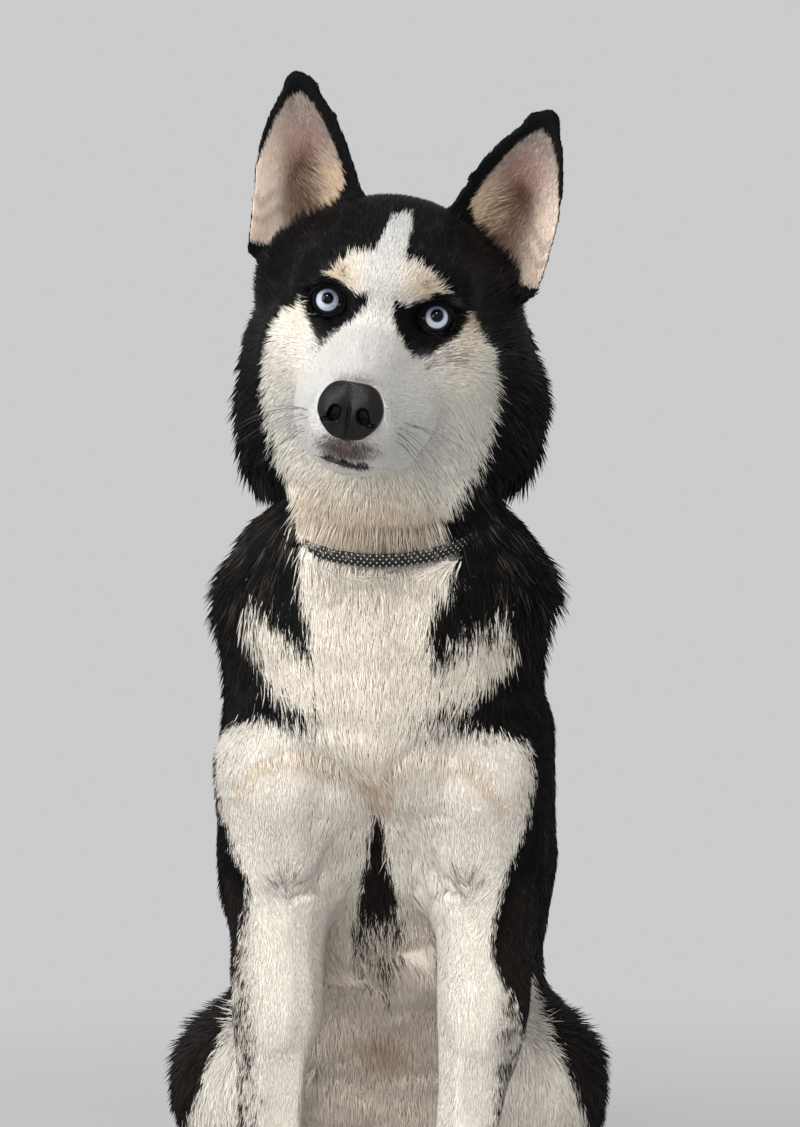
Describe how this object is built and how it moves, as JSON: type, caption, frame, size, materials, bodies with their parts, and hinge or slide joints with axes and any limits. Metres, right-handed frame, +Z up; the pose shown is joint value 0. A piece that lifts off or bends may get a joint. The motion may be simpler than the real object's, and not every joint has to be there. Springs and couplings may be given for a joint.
{
  "type": "dog",
  "caption": "Life-size still model of a seated black and white sled dog with pale blue eyes, pricked ears and a thin dotted collar.",
  "frame": {"origin": "on the floor, under the middle of the dog's box", "axes": "+Z up, -Y the way the dog looks, +X to the dog's left"},
  "size_m": [0.3274, 0.6606, 0.7492],
  "materials": {
    "coat": "thick straight double coat, black on the back, head and shoulders, matt with a slight sheen",
    "pale_coat": "short dense straight fur, cream white, matt",
    "nose_leather": "pebbled damp nose leather, dark brown-black, half gloss",
    "eye": "pale blue iris with a dark ring and black pupil under a clear wet surface",
    "webbing": "black woven band with small white dots"
  },
  "bodies": {
    "root": {"head": "coat", "nose": "nose_leather", "ear_left": "coat", "ear_right": "coat", "eye_left": "eye", "eye_right": "eye", "neck": "coat", "collar": "webbing", "trunk": "coat", "tail": "coat", "foreleg_upper_left": "pale_coat", "foreleg_upper_right": "pale_coat", "foreleg_lower_left": "pale_coat", "foreleg_lower_right": "pale_coat", "forepaw_left": "pale_coat", "forepaw_right": "pale_coat", "thigh_left": "pale_coat", "thigh_right": "pale_coat", "hind_foot_left": "pale_coat", "hind_foot_right": "pale_coat"}
  },
  "joints": []
}
